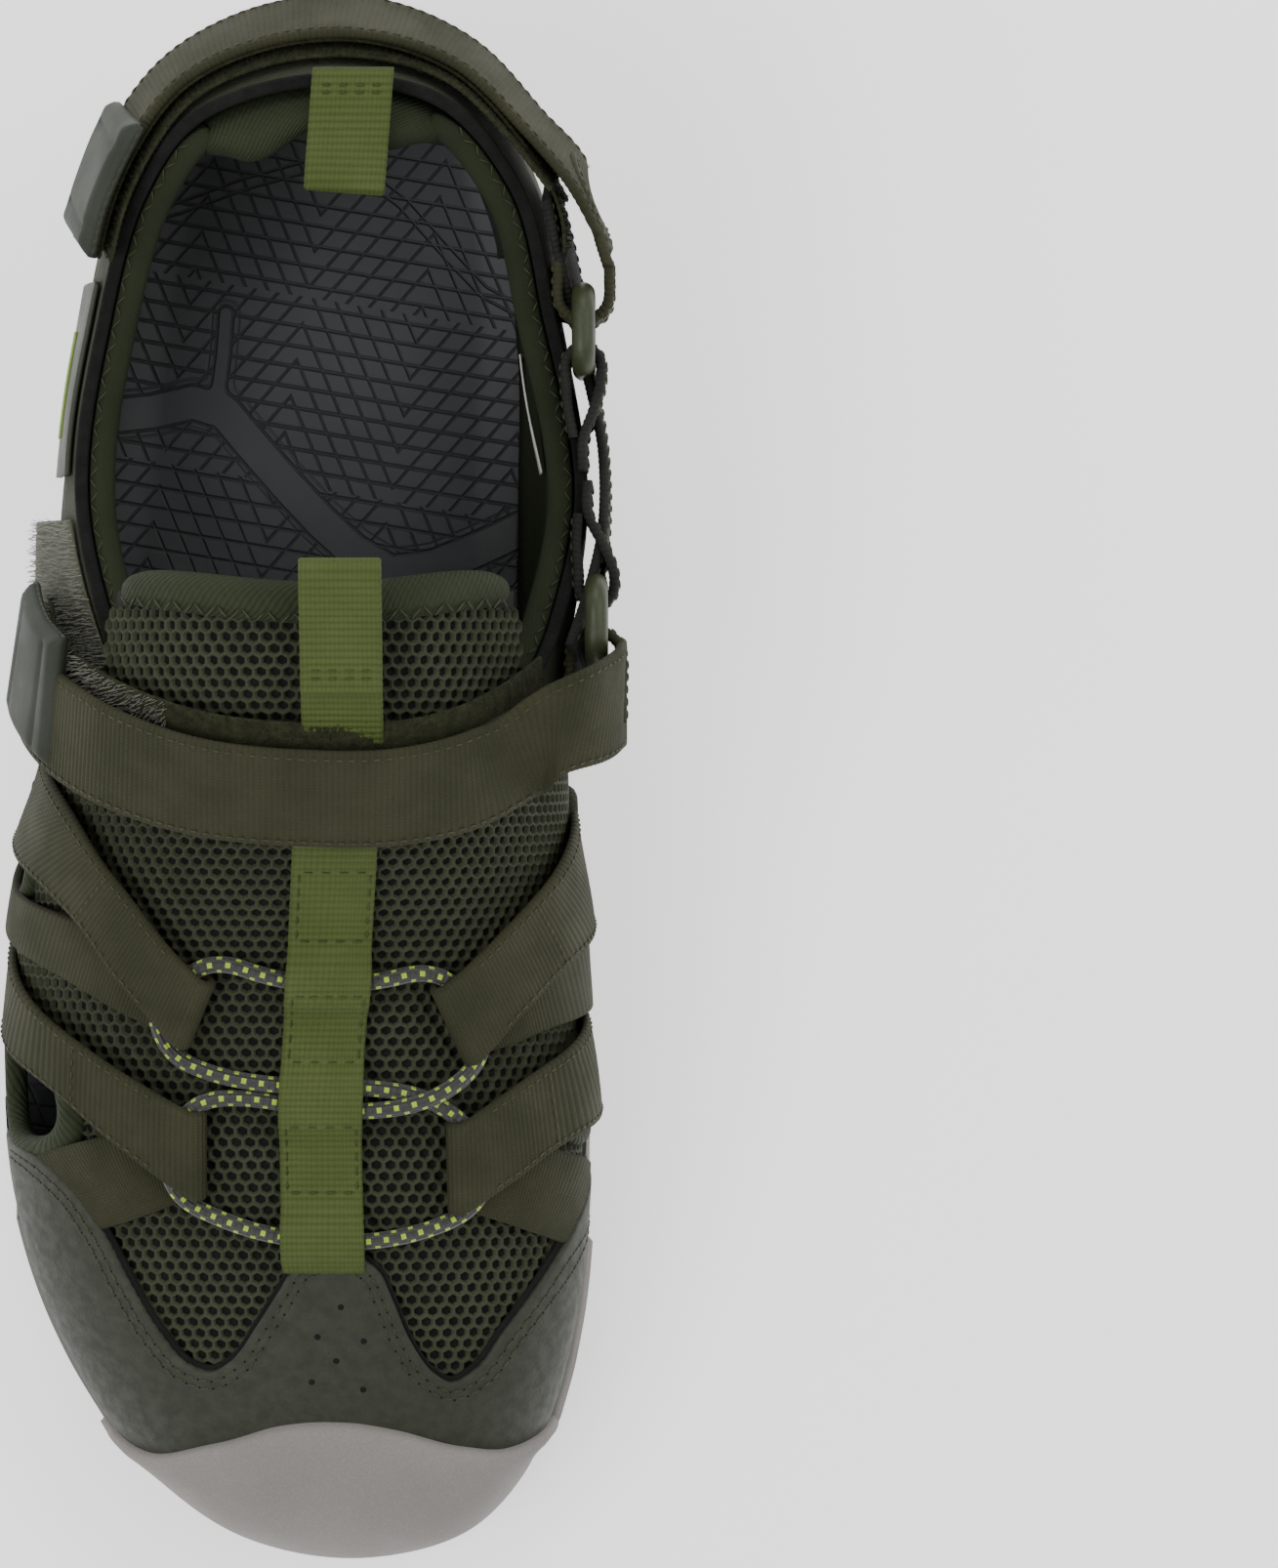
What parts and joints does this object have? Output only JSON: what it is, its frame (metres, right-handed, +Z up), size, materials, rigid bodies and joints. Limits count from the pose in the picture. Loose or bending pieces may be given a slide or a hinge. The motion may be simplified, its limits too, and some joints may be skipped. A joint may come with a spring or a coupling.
{
  "type": "strappy sport sandal",
  "caption": "Closed-toe sport sandal with a lugged sole, air mesh vamp, webbing loops, bungee lace, and instep and heel straps that open on rings.",
  "frame": {"origin": "on the ground under the middle of the sole's length", "axes": "+Z up from the ground, toe points to -Y, inner (medial) side towards +X"},
  "size_m": [0.1186, 0.2891, 0.1228],
  "materials": {
    "outsole_rubber": "matte lugged",
    "midsole_foam": "matte moulded",
    "toe_rubber": "fine grained",
    "board": "pressed fibre",
    "footbed_foam": "grooved satin",
    "air_mesh": "hexagonal air mesh",
    "synthetic_leather": "mottled grain",
    "green_tape": "ribbed tape",
    "webbing": "ribbed webbing",
    "loop_pile": "fuzzy pile",
    "hook_tape": "bristly",
    "neoprene": "fine knit",
    "quarter_fabric": "woven with felt edge",
    "moulded_tab": "satin moulded",
    "ring_plastic": "satin moulded",
    "keeper_webbing": "dark webbing",
    "lace_sheath": "flecked sheath",
    "label_fabric": "woven label",
    "badge": "moulded",
    "counter_board": "stiff board"
  },
  "bodies": {
    "shoe": {"outsole": "outsole_rubber", "midsole": "midsole_foam", "insole_board": "board", "footbed": "footbed_foam", "toe_bumper": "toe_rubber", "vamp_mesh": "air_mesh", "toe_cap": "synthetic_leather", "centre_tape": "green_tape", "bungee_lace": "lace_sheath", "quarter_lateral": "quarter_fabric", "quarter_medial": "quarter_fabric", "collar_lining_lateral": "neoprene", "collar_lining_medial": "neoprene", "heel_counter": "counter_board", "heel_pad": "neoprene", "side_badge": "badge", "size_label": "label_fabric", "instep_strap_base": "webbing", "instep_strap_fold": "webbing", "instep_hook_patch": "hook_tape", "instep_ring_keeper": "keeper_webbing", "heel_strap_base": "webbing", "heel_strap_fold": "webbing", "heel_ring_keeper": "keeper_webbing", "lateral_upper_loop": "webbing", "lateral_lower_loop": "webbing", "medial_upper_loop": "webbing", "medial_lower_loop": "webbing", "lateral_front_binding": "neoprene", "lateral_mid_binding": "neoprene", "medial_front_binding": "neoprene", "medial_mid_binding": "neoprene"},
    "instep_ring": {"instep_ring": "ring_plastic"},
    "instep_strap": {"instep_strap": "webbing", "instep_strap_lining": "loop_pile", "instep_tab": "moulded_tab"},
    "heel_ring": {"heel_ring": "ring_plastic"},
    "heel_strap": {"heel_strap": "webbing", "heel_strap_lining": "loop_pile", "heel_tab": "moulded_tab"},
    "tongue": {"tongue_mesh": "air_mesh", "tongue_binding": "neoprene"},
    "tongue_loop": {"tongue_pull_loop": "green_tape"},
    "heel_loop": {"heel_pull_loop": "green_tape"}
  },
  "joints": [
    {"name": "instep_ring_swing", "type": "hinge", "parent": "shoe", "child": "instep_ring", "pos_m": [0.0563, 0.0359, 0.067], "axis": [0, 0, 1], "range_deg": [-5, 5]},
    {"name": "instep_strap_open", "type": "hinge", "parent": "shoe", "child": "instep_strap", "pos_m": [0.0618, 0.0165, 0.0704], "axis": [0, 1, 0], "range_deg": [0, 110]},
    {"name": "heel_ring_swing", "type": "hinge", "parent": "shoe", "child": "heel_ring", "pos_m": [0.054, 0.0755, 0.07], "axis": [0, 0, 1], "range_deg": [-5, 5]},
    {"name": "heel_strap_open", "type": "hinge", "parent": "shoe", "child": "heel_strap", "pos_m": [0.0594, 0.093, 0.072], "axis": [0, 0, -1], "range_deg": [0, 60]},
    {"name": "tongue_tilt", "type": "hinge", "parent": "shoe", "child": "tongue", "pos_m": [0.01, 0.012, 0.086], "axis": [-1, 0, 0], "range_deg": [0, 15]},
    {"name": "tongue_loop_swing", "type": "hinge", "parent": "tongue", "child": "tongue_loop", "pos_m": [0.01, 0.0162, 0.1126], "axis": [1, 0, 0], "range_deg": [0, 75]},
    {"name": "heel_loop_swing", "type": "hinge", "parent": "shoe", "child": "heel_loop", "pos_m": [0.0125, 0.1245, 0.0996], "axis": [-1, 0, 0], "range_deg": [0, 90]}
  ]
}
